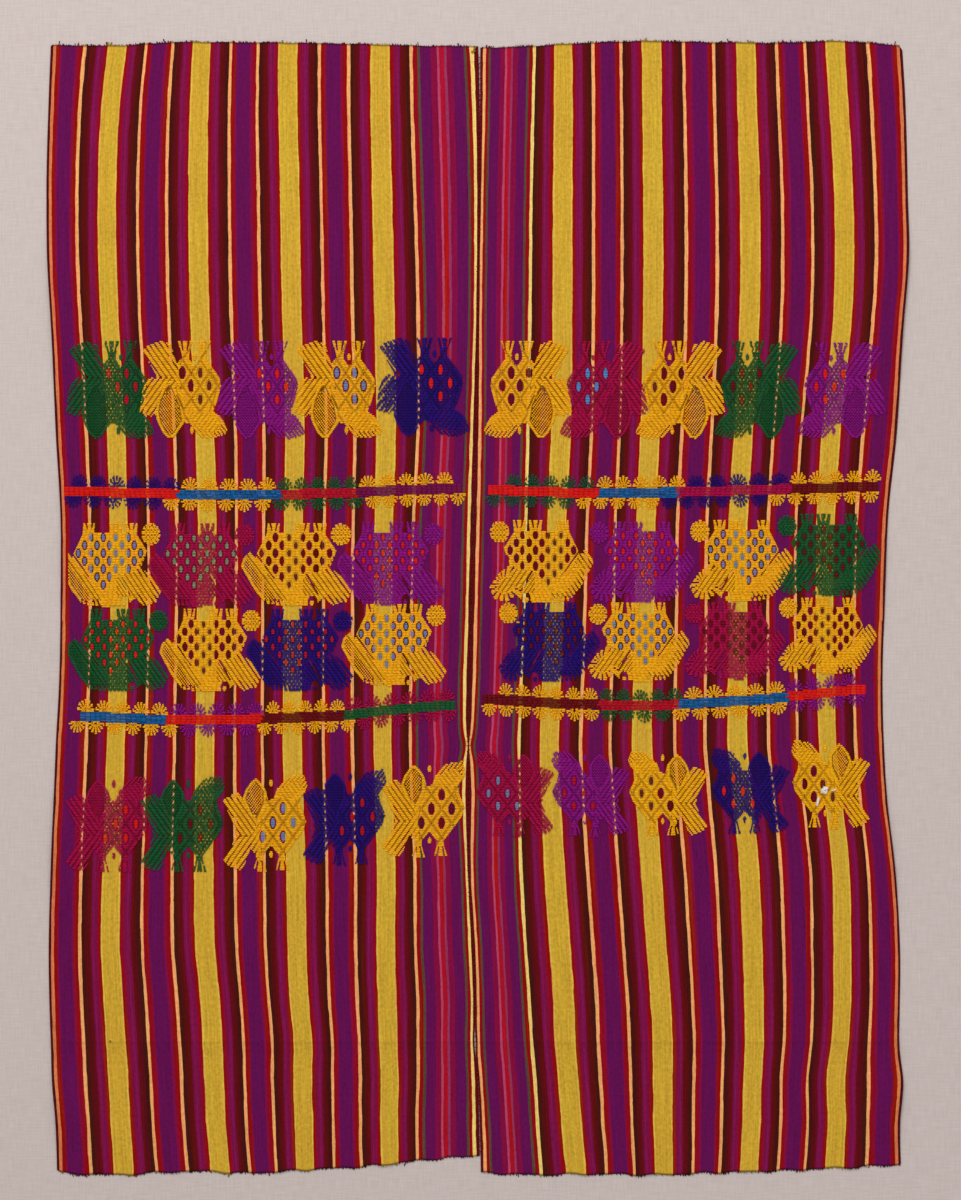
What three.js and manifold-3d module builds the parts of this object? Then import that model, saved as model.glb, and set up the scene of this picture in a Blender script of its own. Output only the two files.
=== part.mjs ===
// A two-web huipil blouse, hand-woven on a backstrap loom and opened out flat.
// Two warp-striped webs lie side by side, joined down the middle except at the neck slit, and are brocaded
// with four rows of birds and two bars. The shoulder line crosses the middle, and the hems are at +Y and -Y.
// Millimetres, +X across the cloth, +Y along the warp, +Z up. The underside rests at z = 0.
import * as THREE from "three";
import { mergeVertices } from "three/addons/utils/BufferGeometryUtils.js";
import Module from "manifold-3d";

const WALL = 1.3; // woven cotton with its selvedge, lying flat
const BROCADE = 1.0; // how far the brocade yarn stands above the ground weave
const BROCADE_ROOT = 0.5; // how deep a figure's solid reaches into the wall
const OUTLINE_TOLERANCE = 0.4; // how closely joined outlines are followed
const OUTLINE_SPREAD = 0.3; // closes the pinholes between outlines that only touch
const SHORTEST_EDGE = 0.05;
const SEAM_GAP = 0.3; // between the two selvedges where they are joined
const HALF_LENGTH = 500; // from the shoulder line to either hem
const HEM_REACH = 100; // how far from a hem its unevenness is felt
const COLUMNS = 10; // wall divisions across a web
const ROW_PITCH = 33; // wall divisions along a web
const CREASE_Y = -384; // an old fold that crosses both webs
const CREASE_HALF = 7;
const CREASE_HEIGHT = 1.1;

const wasm = await Module();
wasm.setup();

// Where the selvedges run, section by section: y, the left web's outer edge, the seam, the right web's outer
// edge, and how much the seam opens there beyond its joining gap.
const SECTIONS = [
  { y: 501, left: -377.0, seam: 1.5, right: 375.0, open: 2.0 },
  { y: 450, left: -379.0, seam: 2.0, right: 378.0, open: 0.4 },
  { y: 361, left: -381.0, seam: 1.8, right: 380.5, open: 0.0 },
  { y: 317, left: -380.5, seam: 0.9, right: 381.3, open: 0.0 },
  { y: 246, left: -376.5, seam: 0.0, right: 376.0, open: 0.0 },
  { y: 149, left: -372.5, seam: -2.0, right: 370.0, open: 0.0 },
  { y: 83, left: -368.5, seam: -3.5, right: 363.0, open: 0.5 },
  { y: 8, left: -368.5, seam: -5.6, right: 360.0, open: 0.8 },
  { y: -72, left: -370.0, seam: -7.2, right: 358.0, open: 0.5 },
  { y: -116, left: -372.5, seam: -8.0, right: 359.0, open: 0.0 },
  { y: -170, left: -374.5, seam: -8.1, right: 362.0, open: 0.0 },
  { y: -231, left: -377.0, seam: -7.7, right: 369.0, open: 0.0 },
  { y: -302, left: -379.0, seam: -3.5, right: 373.5, open: 0.0 },
  { y: -372, left: -377.5, seam: -2.4, right: 372.8, open: 0.2 },
  { y: -384, left: -377.0, seam: -2.2, right: 372.6, open: 1.7 },
  { y: -396, left: -376.8, seam: -1.6, right: 373.6, open: 0.2 },
  { y: -417, left: -376.0, seam: 0.4, right: 376.0, open: 0.1 },
  { y: -452, left: -373.0, seam: 1.6, right: 373.5, open: 0.4 },
  { y: -501, left: -371.5, seam: 2.7, right: 374.5, open: 0.6 },
];

// The loom ends: where each hem lies at even steps from the web's left edge to its right edge.
const HEMS = {
  left: {
    top: [497.5, 497.0, 500.0, 500.0, 499.5, 498.5, 497.0, 496.5],
    bottom: [-499.5, -501.0, -498.0, -499.5, -496.5, -493.5, -488.0, -484.0],
  },
  right: {
    top: [495.0, 496.5, 499.5, 501.0, 500.0, 499.5, 501.0, 497.0],
    bottom: [-499.5, -501.0, -500.5, -501.0, -499.0, -497.5, -495.0, -492.0],
  },
};

// Soft ridges where the cloth stands off the table: the middle of each, its half length along the warp, its
// half width, its height, and how far it leans in X over its half length.
const RIPPLES = [
  { x: -380, y: 262, along: 95, across: 62, height: 2.6, lean: 6 },
  { x: -300, y: 330, along: 120, across: 34, height: 1.6, lean: -8 },
  { x: -226, y: 372, along: 110, across: 36, height: 1.3, lean: 5 },
  { x: -128, y: 318, along: 130, across: 38, height: 1.7, lean: 10 },
  { x: -374, y: -205, along: 80, across: 55, height: 2.2, lean: -5 },
  { x: -288, y: -330, along: 105, across: 36, height: 1.5, lean: -12 },
  { x: -182, y: -352, along: 125, across: 40, height: 1.9, lean: -10 },
  { x: -70, y: -318, along: 90, across: 34, height: 1.2, lean: 4 },
  { x: -372, y: -440, along: 55, across: 48, height: 2.0, lean: 3 },
  { x: -18, y: 0, along: 118, across: 30, height: 1.5, lean: 2 },
  { x: 12, y: -4, along: 112, across: 28, height: 1.2, lean: 2 },
  { x: 104, y: 340, along: 115, across: 36, height: 1.5, lean: 3 },
  { x: 214, y: 300, along: 130, across: 38, height: 1.8, lean: -8 },
  { x: 304, y: 366, along: 100, across: 34, height: 1.3, lean: -6 },
  { x: 380, y: 268, along: 105, across: 64, height: 2.8, lean: 10 },
  { x: 70, y: -330, along: 120, across: 38, height: 1.7, lean: -14 },
  { x: 166, y: -300, along: 95, across: 34, height: 1.3, lean: -10 },
  { x: 268, y: -345, along: 120, across: 40, height: 1.9, lean: 4 },
  { x: 374, y: -205, along: 85, across: 58, height: 2.5, lean: 8 },
  { x: 376, y: -428, along: 60, across: 46, height: 2.2, lean: 2 },
  { x: 362, y: 40, along: 70, across: 40, height: 1.4, lean: 4 },
  { x: -368, y: 60, along: 75, across: 38, height: 1.3, lean: 0 },
];

// The side-view birds, row by row: the middle of each, its width and its height. They face the seam.
// The back's row has its feet towards +Y and the front's towards -Y, so both stand upright when worn.
const BIRD_ROWS = [
  {
    web: "left",
    feetUp: true,
    width: 77,
    height: 86,
    birds: [
      { x: -325, y: 192 },
      { x: -257, y: 192 },
      { x: -190, y: 191 },
      { x: -122, y: 192 },
      { x: -50, y: 196 },
    ],
  },
  {
    web: "right",
    feetUp: true,
    width: 76,
    height: 86,
    birds: [
      { x: 46, y: 192 },
      { x: 114, y: 191 },
      { x: 182, y: 191 },
      { x: 250, y: 191 },
      { x: 318, y: 191 },
    ],
  },
  {
    web: "left",
    feetUp: false,
    width: 75,
    height: 83,
    birds: [
      { x: -327, y: -191 },
      { x: -261, y: -191 },
      { x: -188, y: -190 },
      { x: -118, y: -185 },
      { x: -48, y: -178 },
    ],
  },
  {
    web: "right",
    feetUp: false,
    width: 70,
    height: 77,
    birds: [
      { x: 33, y: -164 },
      { x: 100, y: -164 },
      { x: 170, y: -164 },
      { x: 242, y: -161 },
      { x: 313, y: -156 },
    ],
  },
];

// A side-view bird in millimetres from its middle, standing on -Y and facing +X.
const SIDE_BIRD_SIZE = { width: 76, height: 84 };
const SIDE_BIRD = [
  { x: -38, y: 21 }, // upper tail
  { x: -29, y: 29 },
  { x: -20, y: 22 }, // wing
  { x: -16, y: 34 },
  { x: -9, y: 40 },
  { x: -1, y: 33 },
  { x: 3, y: 20 },
  { x: 8, y: 30 }, // head and comb
  { x: 20, y: 39 },
  { x: 37, y: 42 },
  { x: 38, y: 23 },
  { x: 33, y: 14 },
  { x: 37, y: 4 }, // breast
  { x: 22, y: -22 },
  { x: 15, y: -29 }, // feet
  { x: 20, y: -41 },
  { x: 8, y: -41 },
  { x: 10, y: -28 },
  { x: 5, y: -18 },
  { x: -2, y: -28 },
  { x: 0, y: -41 },
  { x: -12, y: -41 },
  { x: -9, y: -28 },
  { x: -14, y: -23 }, // lower tail
  { x: -23, y: -41 },
  { x: -37, y: -30 },
  { x: -27, y: -13 },
  { x: -27, y: -2 },
];

// The spread-wing birds either side of the shoulder line: the middle of each lattice body, how far its wing
// reaches towards the web's outer edge, and its height as a share of the tallest.
const SPREAD_BIRDS = [
  { web: "left", x: -323, y: 42, reach: 39, tall: 1.0 },
  { web: "left", x: -247, y: 41, reach: 47, tall: 1.0 },
  { web: "left", x: -161, y: 42, reach: 48, tall: 1.0 },
  { web: "left", x: -78, y: 42, reach: 46, tall: 1.0 },
  { web: "right", x: 61, y: 44, reach: 46, tall: 0.95 },
  { web: "right", x: 146, y: 43, reach: 46, tall: 0.95 },
  { web: "right", x: 229, y: 44, reach: 44, tall: 0.94 },
  { web: "right", x: 312, y: 49, reach: 44, tall: 0.93 },
  { web: "left", x: -322, y: -34, reach: 42, tall: 1.0 },
  { web: "left", x: -239, y: -34, reach: 46, tall: 1.0 },
  { web: "left", x: -158, y: -34, reach: 46, tall: 1.0 },
  { web: "left", x: -75, y: -29, reach: 46, tall: 0.98 },
  { web: "right", x: 65, y: -28, reach: 44, tall: 0.9 },
  { web: "right", x: 144, y: -28, reach: 44, tall: 0.9 },
  { web: "right", x: 229, y: -27, reach: 44, tall: 0.89 },
  { web: "right", x: 312, y: -23, reach: 41, tall: 0.89 },
];

// A spread-wing bird in millimetres from its lattice's middle, its wing towards -X and its pompom at +X.
const SPREAD_BIRD = [
  { x: -34, y: 6 }, // lattice body with its forked feet
  { x: -26, y: 21 },
  { x: -25, y: 31 },
  { x: -14, y: 31 },
  { x: -15, y: 22 },
  { x: -7, y: 22 },
  { x: -7, y: 30 },
  { x: 8, y: 30 },
  { x: 8, y: 22 },
  { x: 17, y: 22 },
  { x: 16, y: 31 },
  { x: 28, y: 31 },
  { x: 27, y: 21 },
  { x: 36, y: 6 },
  { x: 33, y: -7 },
  { x: 42, y: -17 }, // neck and combed tail
  { x: 51, y: -27 },
  { x: 46, y: -37 },
  { x: 34, y: -39 },
  { x: 25, y: -32 },
  { x: 18, y: -38 },
  { x: -3, y: -40 }, // wing
  { x: -26, y: -38 },
  { x: -37, y: -26 },
  { x: -49, y: -5 },
  { x: -41, y: 6 },
  { x: -36, y: -2 },
];
const POMPOM = { x: 41, y: 21, radius: 9, sides: 8 };

// The brocaded bars' middle lines, from the web's outer edge to the seam or from the seam outwards.
const BARS = [
  {
    web: "left",
    line: [
      { x: -365, y: 103.5 },
      { x: -270, y: 100.7 },
      { x: -210, y: 99.7 },
      { x: -112, y: 101.6 },
      { x: -76, y: 103.8 },
      { x: -14, y: 105.8 },
    ],
  },
  {
    web: "right",
    line: [
      { x: 9, y: 104.3 },
      { x: 90, y: 101.6 },
      { x: 177, y: 102.2 },
      { x: 250, y: 104.4 },
      { x: 354, y: 107.5 },
    ],
  },
  {
    web: "left",
    line: [
      { x: -351, y: -95.4 },
      { x: -276, y: -99.0 },
      { x: -210, y: -98.4 },
      { x: -122, y: -95.3 },
      { x: -82, y: -90.5 },
      { x: -22, y: -85.5 },
    ],
  },
  {
    web: "right",
    line: [
      { x: 3, y: -80.0 },
      { x: 73, y: -84.5 },
      { x: 152, y: -86.5 },
      { x: 250, y: -81.0 },
      { x: 330, y: -72.5 },
      { x: 343, y: -71.5 },
    ],
  },
];
const LOBE = { pitch: 16, valley: 6.5, peak: 15.5, top: 7 }; // the combed lobes along both sides of a bar

const mix = (a, b, t) => a + (b - a) * t;

// A smooth curve through evenly weighted neighbours, used for every table above.
function smooth(before, from, to, after, t) {
  const t2 = t * t;
  const t3 = t2 * t;
  return (
    0.5 *
    (2 * from +
      (to - before) * t +
      (2 * before - 5 * from + 4 * to - after) * t2 +
      (3 * from - before - 3 * to + after) * t3)
  );
}

function section(y, column) {
  const last = SECTIONS.length - 1;
  let i = 0;
  while (i < last - 1 && y < SECTIONS[i + 1].y) i++;
  const t = Math.min(
    1,
    Math.max(0, (SECTIONS[i].y - y) / (SECTIONS[i].y - SECTIONS[i + 1].y)),
  );
  const at = (k) => SECTIONS[Math.min(last, Math.max(0, k))][column];
  return smooth(at(i - 1), at(i), at(i + 1), at(i + 2), t);
}

function hem(places, share) {
  const last = places.length - 1;
  const i = Math.min(last - 1, Math.floor(share * last));
  const at = (k) => places[Math.min(last, Math.max(0, k))];
  return smooth(at(i - 1), at(i), at(i + 1), at(i + 2), share * last - i);
}

const bump = (r) => (Math.abs(r) < 1 ? (1 - r * r) ** 2 : 0);

// How far the cloth's underside stands off the table.
function lift(x, y) {
  let height = CREASE_HEIGHT * bump((y - CREASE_Y) / CREASE_HALF);
  for (const r of RIPPLES) {
    const along = (y - r.y) / r.along;
    const across = (x - r.x - r.lean * along) / r.across;
    height += r.height * bump(along) * bump(across);
  }
  return height;
}

function edges(web, y) {
  const seam = section(y, "seam");
  const half = (SEAM_GAP + Math.max(0, section(y, "open"))) / 2;
  return web === "left"
    ? { from: section(y, "left"), to: seam - half }
    : { from: seam + half, to: section(y, "right") };
}

// The heights of the wall's rows from the front hem to the back hem, with three of them on the old fold.
function rowHeights() {
  const count = Math.round((2 * HALF_LENGTH) / ROW_PITCH);
  const plain = Array.from({ length: count + 1 }, (_, i) =>
    mix(-HALF_LENGTH, HALF_LENGTH, i / count),
  );
  const fold = [CREASE_Y - CREASE_HALF, CREASE_Y, CREASE_Y + CREASE_HALF];
  const clear = plain.filter((y) => Math.abs(y - CREASE_Y) > 2 * CREASE_HALF);
  return [...clear, ...fold].sort((a, b) => a - b);
}

// A row's height where it bends to follow the hems.
function bent(web, height, share) {
  const near = (side) =>
    Math.max(0, (side * height - HALF_LENGTH + HEM_REACH) / HEM_REACH);
  const top = hem(HEMS[web].top, share) - HALF_LENGTH;
  const bottom = hem(HEMS[web].bottom, share) + HALF_LENGTH;
  return height + top * near(1) + bottom * near(-1);
}

function wall(web) {
  const rows = rowHeights();
  const steps = rows.length - 1;
  const geometry = new THREE.BoxGeometry(1, 1, 1, COLUMNS, steps, 1);
  const p = geometry.getAttribute("position");
  for (let i = 0; i < p.count; i++) {
    const share = p.getX(i) + 0.5;
    const y = bent(web, rows[Math.round((p.getY(i) + 0.5) * steps)], share);
    const side = edges(web, y);
    p.setXYZ(i, mix(side.from, side.to, share), y, p.getZ(i) > 0 ? WALL : 0);
  }
  return geometry;
}

function sideBird(row, bird) {
  const inward = row.web === "left" ? 1 : -1;
  const up = row.feetUp ? -1 : 1;
  return SIDE_BIRD.map((p) => [
    bird.x + (inward * p.x * row.width) / SIDE_BIRD_SIZE.width,
    bird.y + (up * p.y * row.height) / SIDE_BIRD_SIZE.height,
  ]);
}

function spreadBird(bird) {
  const inward = bird.web === "left" ? 1 : -1;
  return SPREAD_BIRD.map((p) => [
    bird.x + inward * Math.max(p.x, -bird.reach),
    bird.y + p.y * bird.tall,
  ]);
}

function pompom(bird) {
  const inward = bird.web === "left" ? 1 : -1;
  return Array.from({ length: POMPOM.sides }, (_, i) => {
    const turn = ((i + 0.5) / POMPOM.sides) * 2 * Math.PI;
    return [
      bird.x + inward * (POMPOM.x + POMPOM.radius * Math.cos(turn)),
      bird.y + POMPOM.y * bird.tall + POMPOM.radius * Math.sin(turn),
    ];
  });
}

function barHeight(line, x) {
  const last = line.length - 1;
  let i = 0;
  while (i < last - 1 && x > line[i + 1].x) i++;
  const t = (x - line[i].x) / (line[i + 1].x - line[i].x);
  return mix(line[i].y, line[i + 1].y, t);
}

// A bar with its lobes: along its upper side from left to right, then back along its lower side.
function bar({ line }) {
  const from = line[0].x;
  const to = line[line.length - 1].x;
  const lobes = Math.round((to - from) / LOBE.pitch);
  const pitch = (to - from) / lobes;
  const flat = (pitch - LOBE.top) / 2;
  const upper = [];
  const lower = [];
  for (let i = 0; i <= lobes; i++) {
    const x = from + i * pitch;
    upper.push([x, barHeight(line, x) + LOBE.valley]);
    lower.push([x, barHeight(line, x) - LOBE.valley]);
    if (i === lobes) break;
    for (const top of [x + flat, x + flat + LOBE.top]) {
      upper.push([top, barHeight(line, top) + LOBE.peak]);
      lower.push([top, barHeight(line, top) - LOBE.peak]);
    }
  }
  return [...upper, ...lower.reverse()];
}

function figures(web) {
  const outlines = [];
  for (const row of BIRD_ROWS.filter((r) => r.web === web))
    outlines.push(...row.birds.map((bird) => sideBird(row, bird)));
  for (const bird of SPREAD_BIRDS.filter((b) => b.web === web))
    outlines.push(spreadBird(bird), pompom(bird));
  outlines.push(...BARS.filter((b) => b.web === web).map(bar));
  return outlines;
}

// The raised figures of one web as one body, from just inside the wall to the top of the yarn.
function brocade(outlines) {
  const closed = outlines.map((points) =>
    THREE.ShapeUtils.area(points.map(([x, y]) => ({ x, y }))) < 0
      ? points.reverse()
      : points,
  );
  return wasm.CrossSection.union(closed.map((points) => [points]))
    .simplify(OUTLINE_TOLERANCE)
    .offset(OUTLINE_SPREAD, "Miter")
    .extrude(BROCADE_ROOT + BROCADE)
    .translate([0, 0, WALL - BROCADE_ROOT]);
}

// A solid whose triangles each count as a face of their own, so that joining it to another keeps them.
function solid(geometry) {
  geometry.deleteAttribute("normal");
  geometry.deleteAttribute("uv");
  const merged = mergeVertices(geometry, 1e-4);
  const triangles = merged.index.count / 3;
  return new wasm.Manifold(
    new wasm.Mesh({
      numProp: 3,
      vertProperties: new Float32Array(merged.getAttribute("position").array),
      triVerts: new Uint32Array(merged.index.array),
      faceID: Uint32Array.from({ length: triangles }, (_, i) => i),
    }),
  );
}

// The flat web's surface, with every point stood off the table where the cloth ripples.
function rippled(body) {
  const made = body.getMesh();
  const geometry = new THREE.BufferGeometry();
  const p = new THREE.BufferAttribute(new Float32Array(made.vertProperties), 3);
  for (let i = 0; i < p.count; i++)
    p.setZ(i, p.getZ(i) + lift(p.getX(i), p.getY(i)));
  geometry.setAttribute("position", p);
  geometry.setIndex(new THREE.BufferAttribute(new Uint32Array(made.triVerts), 1));
  geometry.computeVertexNormals();
  return geometry;
}

function webMesh(web) {
  const body = solid(wall(web)).add(brocade(figures(web))).simplify(SHORTEST_EDGE);
  const cotton = new THREE.MeshStandardMaterial({
    color: web === "left" ? "#6d1057" : "#72105a",
    roughness: 0.9,
    metalness: 0,
  });
  const mesh = new THREE.Mesh(rippled(body), cotton);
  mesh.name = `${web}_web`;
  return mesh;
}

const huipil = new THREE.Group();
huipil.add(webMesh("left"));
huipil.add(webMesh("right"));

export default huipil;
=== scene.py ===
# A two-web huipil opened out flat on a pale surface, seen from straight above.
# Warp-striped cotton webs, joined down the middle except at the neck slit, with brocaded birds and bars.
# The tables are in millimetres in the model's own frame, and the meshes are in metres.
import math

import bmesh
import bpy
import numpy as np
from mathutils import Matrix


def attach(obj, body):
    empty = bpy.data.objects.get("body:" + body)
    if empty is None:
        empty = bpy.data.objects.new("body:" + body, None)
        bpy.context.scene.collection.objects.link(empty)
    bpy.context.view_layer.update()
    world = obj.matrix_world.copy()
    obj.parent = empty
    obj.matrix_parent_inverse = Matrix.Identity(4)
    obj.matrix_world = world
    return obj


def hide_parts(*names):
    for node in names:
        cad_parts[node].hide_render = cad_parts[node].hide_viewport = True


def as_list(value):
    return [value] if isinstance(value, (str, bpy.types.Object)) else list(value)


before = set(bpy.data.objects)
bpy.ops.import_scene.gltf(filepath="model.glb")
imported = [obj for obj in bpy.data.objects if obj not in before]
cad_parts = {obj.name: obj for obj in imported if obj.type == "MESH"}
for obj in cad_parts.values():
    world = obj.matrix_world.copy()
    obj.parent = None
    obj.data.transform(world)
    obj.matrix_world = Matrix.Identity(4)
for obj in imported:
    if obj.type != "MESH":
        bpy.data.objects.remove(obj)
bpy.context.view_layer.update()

MM = 0.001
WALL = 1.3  # the woven ground, lying flat
BROCADE = 1.0  # how far the brocade yarn stands above the ground
BEDDED = 0.15  # how deep the yarn lies in the ground
SELVEDGE = 1.2  # how far from its edge the cloth rounds off
HALF_LENGTH = 500.0  # shoulder line to hem
HEM_REACH = 100.0  # how far from a hem the cloth follows its line
SEAM_GAP = 0.06  # the selvedges lie edge to edge; the solids keep 0.3
FOLD_Y = -384.0  # an old storage fold across both webs
FOLD_HALF = 7.0
FOLD_HEIGHT = 1.1
FOLD_LEAN = 0.004  # how far it is from square to the seam
SLIT = (-108.0, 113.0)  # the neck slit, where the seam isn't sewn
PICK = 1.4  # brocade picks; the real ones are a little closer
SAMPLE = 0.35  # how closely a chart is read along a pick
SHORTEST, LONGEST = 0.6, 4.5  # how long a float of yarn can be
SLANT = 1.4  # how steeply the side birds' strokes rise
STROKE = 5.0  # the broad strokes, from one to the next along the weft
STITCH = 4.6  # the seam's stitches
BAR_HALF = 4.4  # from a bar's middle line to its fans
FAN, SLACK_FAN = 15.4, 17.0  # a fan's width, near the seam and where the webs are slacker
SLACK_FROM = 180.0  # how far out from the seam that is
SHOW_THROUGH = 0.05  # of the ground's colour, between the brocade's picks
WANDER = 1.7  # the noise reaches a quarter of it, so that warps wander 0.4 mm either way
RAMP_STOPS = 28  # the stripes in one colour ramp, which has room for 32
PIXEL = 0.884  # what one of the photograph's pixels spans on the table
WEBS = ("left", "right")
chance = np.random.default_rng(5861)

# The cloth's edges from the back hem to the front hem: y, left edge, seam, right edge, and how far the
# seam gapes.
EDGES = (
    (501, -377, 1.5, 375, 2),
    (450, -379, 2, 378, 0.4),
    (361, -381, 1.8, 380.5, 0),
    (317, -380.5, 0.9, 381.3, 0),
    (246, -376.5, 0, 376, 0),
    (149, -372.5, -2, 370, 0),
    (83, -368.5, -3.5, 363, 0.1),
    (8, -368.5, -5.6, 360, 0.1),
    (-72, -370, -7.2, 358, 0.1),
    (-116, -372.5, -8, 359, 0),
    (-170, -374.5, -8.1, 362, 0),
    (-231, -377, -7.7, 369, 0),
    (-302, -379, -3.5, 373.5, 0),
    (-372, -377.5, -2.4, 372.8, 0.2),
    (-384, -377, -2.2, 372.6, 1.7),
    (-396, -376.8, -1.6, 373.6, 0.2),
    (-417, -376, 0.4, 376, 0.1),
    (-452, -373, 1.6, 373.5, 0.4),
    (-501, -371.5, 2.7, 374.5, 0.6),
)

# Where chosen warps lie down the cloth: y, then for the left web and for the right the x of the middle of the
# four broad yellow stripes from the outer edge inward, and of the pale lines after the fourth and at the
# seam. The first stitches past the neck slit pull the two seam lines together at -122.
STRIPES = (
    (497, -318, -244, -168, -86, -59, -6, 316, 237.5, 153.5, 75.5, 50.5, 6.5),
    (449, -324, -246, -168, -86, -58.3, -3.5, 319, 238.5, 154, 76, 49.3, 5.9),
    (361, -328, -247, -166, -84.5, -55.3, -1.5, 324, 241, 155, 75.5, 47.3, 4),
    (272, -326.5, -246, -164.5, -83, -52.8, -1.8, 324, 241, 155, 75.5, 46.5, 2.8),
    (149, -319.5, -241, -161.5, -81, -52.8, -5.5, 312, 235, 152, 74, 44.2, 2.3),
    (82, -318, -239, -163, -82.5, -56.5, -7.5, 308, 231, 149, 70.5, 42.8, 0.9),
    (-10, -317, -240, -164, -83, -58.5, -9.5, 307, 230.5, 147.5, 67.5, 40.7, -1.3),
    (-90, -319.1, -240.8, -164, -83.4, -59.5, -11.6, 309.1, 230, 145.7, 64.2, 37.7, -3.9),
    (-108, -319.7, -241, -164, -83.5, -59.7, -11.2, 309.7, 230, 145.3, 63.5, 37, -5),
    (-122, -320.1, -241, -163.9, -83.4, -59.7, -9, 310.2, 230.2, 145.2, 63.2, 36.7, -7.2),
    (-137, -320.6, -241.1, -163.5, -83.1, -59.3, -11.4, 311.7, 231.5, 146.2, 63.5, 36.8, -4.9),
    (-156, -321.2, -241.3, -163, -82.7, -58.8, -12, 313.8, 233.3, 147.6, 64.3, 37.1, -4),
    (-232, -324, -242, -160.5, -80.5, -55.4, -9.3, 322, 240.5, 153.5, 68.5, 38.3, -4.8),
    (-302, -325, -240.5, -159.5, -81, -55, -6.6, 323, 243.5, 158.5, 73.5, 42.5, -1),
    (-347, -322.5, -236, -157.5, -80, -52.7, -4.6, 323, 244.5, 162, 76.5, 45.5, 0.6),
    (-384, -320, -234, -154, -79, -52.6, -5, 320.5, 245, 164, 77.5, 47.8, 1),
    (-417, -318, -232.5, -154.5, -77.5, -52.7, -3.8, 316.5, 243.5, 164, 80.5, 50.8, 3),
    (-452, -316, -231, -153.5, -78, -53.8, -3.3, 317.5, 242.5, 164, 83.5, 52.7, 5.4),
    (-497, -313, -227, -152.5, -77, -53.2, -2.6, 315, 240, 165, 88, 56.2, 7),
)

# Where the top and the bottom hem lie at even steps from the web's left edge to its right edge.
HEMS = {
    "left": (
        (497.5, 497, 500, 500, 499.5, 498.5, 497, 496.5),
        (-499.5, -501, -498, -499.5, -496.5, -493.5, -488, -484),
    ),
    "right": (
        (495, 496.5, 499.5, 501, 500, 499.5, 501, 497),
        (-499.5, -501, -500.5, -501, -499, -497.5, -495, -492),
    ),
}

# Soft ridges that stand off the table: x, y, half length, half width, height, lean in x over the half length.
RIPPLES = (
    (-380, 262, 95, 62, 2.6, 6),
    (-300, 330, 120, 34, 1.6, -8),
    (-226, 372, 110, 36, 1.3, 5),
    (-128, 318, 130, 38, 1.7, 10),
    (-374, -205, 80, 55, 2.2, -5),
    (-288, -330, 105, 36, 1.5, -12),
    (-182, -352, 125, 40, 1.9, -10),
    (-70, -318, 90, 34, 1.2, 4),
    (-372, -440, 55, 48, 2, 3),
    (-18, 0, 118, 30, 1.5, 2),
    (12, -4, 112, 28, 1.2, 2),
    (104, 340, 115, 36, 1.5, 3),
    (214, 300, 130, 38, 1.8, -8),
    (304, 366, 100, 34, 1.3, -6),
    (380, 268, 105, 64, 2.8, 10),
    (70, -330, 120, 38, 1.7, -14),
    (166, -300, 95, 34, 1.3, -10),
    (268, -345, 120, 40, 1.9, 4),
    (374, -205, 85, 58, 2.5, 8),
    (376, -428, 60, 46, 2.2, 2),
    (362, 40, 70, 40, 1.4, 4),
    (-368, 60, 75, 38, 1.3, 0),
)

# The warp's dyes. They are aniline-bright, and the brocade's are the same family.
WARP_DYES = {
    "edge": "#4E060B", "outer_line": "#D97A4C", "line": "#F0A868", "straw_line": "#EFCE74",
    "red": "#900208", "crimson": "#84063E", "purple": "#640950", "maroon": "#5A0608",
    "umber": "#44100A", "deep_red": "#64060E", "magenta": "#7A0A44", "violet": "#80124E",
    "yellow": "#D0A632", "pale_yellow": "#DEB648", "scarlet": "#AC0A1E", "rose": "#B44468",
    "lilac": "#90355E", "moss": "#544634", "margin": "#600307",
}  # fmt: skip

# One web's warp from its outer selvedge to the seam: dye and width. The group at the seam isn't mirrored
# from web to web, so that its straw-yellow line always lies to the right.
BAND = [
    ("red", 3), ("crimson", 1.5), ("magenta", 1.6), ("violet", 1.4), ("magenta", 1.6),
    ("deep_red", 2.2), ("maroon", 2.6), ("umber", 3.2), ("line", 2.5), ("red", 3.7),
]  # fmt: skip
BROAD = [("pale_yellow", 1.2), ("yellow", 14), ("pale_yellow", 1.2)]
PLUM = [("crimson", 1), ("purple", 11.6), ("crimson", 2.1)]
OUTER = [
    ("edge", 2), ("outer_line", 2.9), ("red", 3.1), ("crimson", 1.2), ("purple", 12),
    ("crimson", 2.2), ("red", 3.7), ("line", 2.8), ("umber", 3.5), ("maroon", 3.4),
]  # fmt: skip
SEAM_GROUP = [
    ("line", 2.8), ("red", 4.2), ("moss", 2.4), ("purple", 9.6), ("crimson", 5.4), ("rose", 2),
    ("scarlet", 4.8), ("lilac", 2.2), ("crimson", 5.4), ("purple", 10.2), ("moss", 2.2), ("red", 3.1),
    ("straw_line", 2.9),
]  # fmt: skip
BEFORE_SEAM = OUTER + BAND[5::-1] + (BROAD + BAND + PLUM + BAND[::-1]) * 3 + BROAD + BAND[:-2]
WARPS = {
    "left": BEFORE_SEAM + SEAM_GROUP + [("margin", 2.8)],
    "right": BEFORE_SEAM + SEAM_GROUP[::-1] + [("margin", 2.8)],
}
WIDTHS = np.array([width for _, width in WARPS["left"]])
STARTS = np.concatenate([[0], np.cumsum(WIDTHS)])
WEB = STARTS[-1]
DYES = {web: [dye for dye, _ in warp] for web, warp in WARPS.items()}
MIDDLES = STARTS[:-1] + WIDTHS / 2
YELLOW_AT = [MIDDLES[i] for i, dye in enumerate(DYES["left"]) if dye == "yellow"]
LAST_LINE_AT = MIDDLES[len(BEFORE_SEAM)]
SEAM_LINE_AT = MIDDLES[-2]


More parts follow.
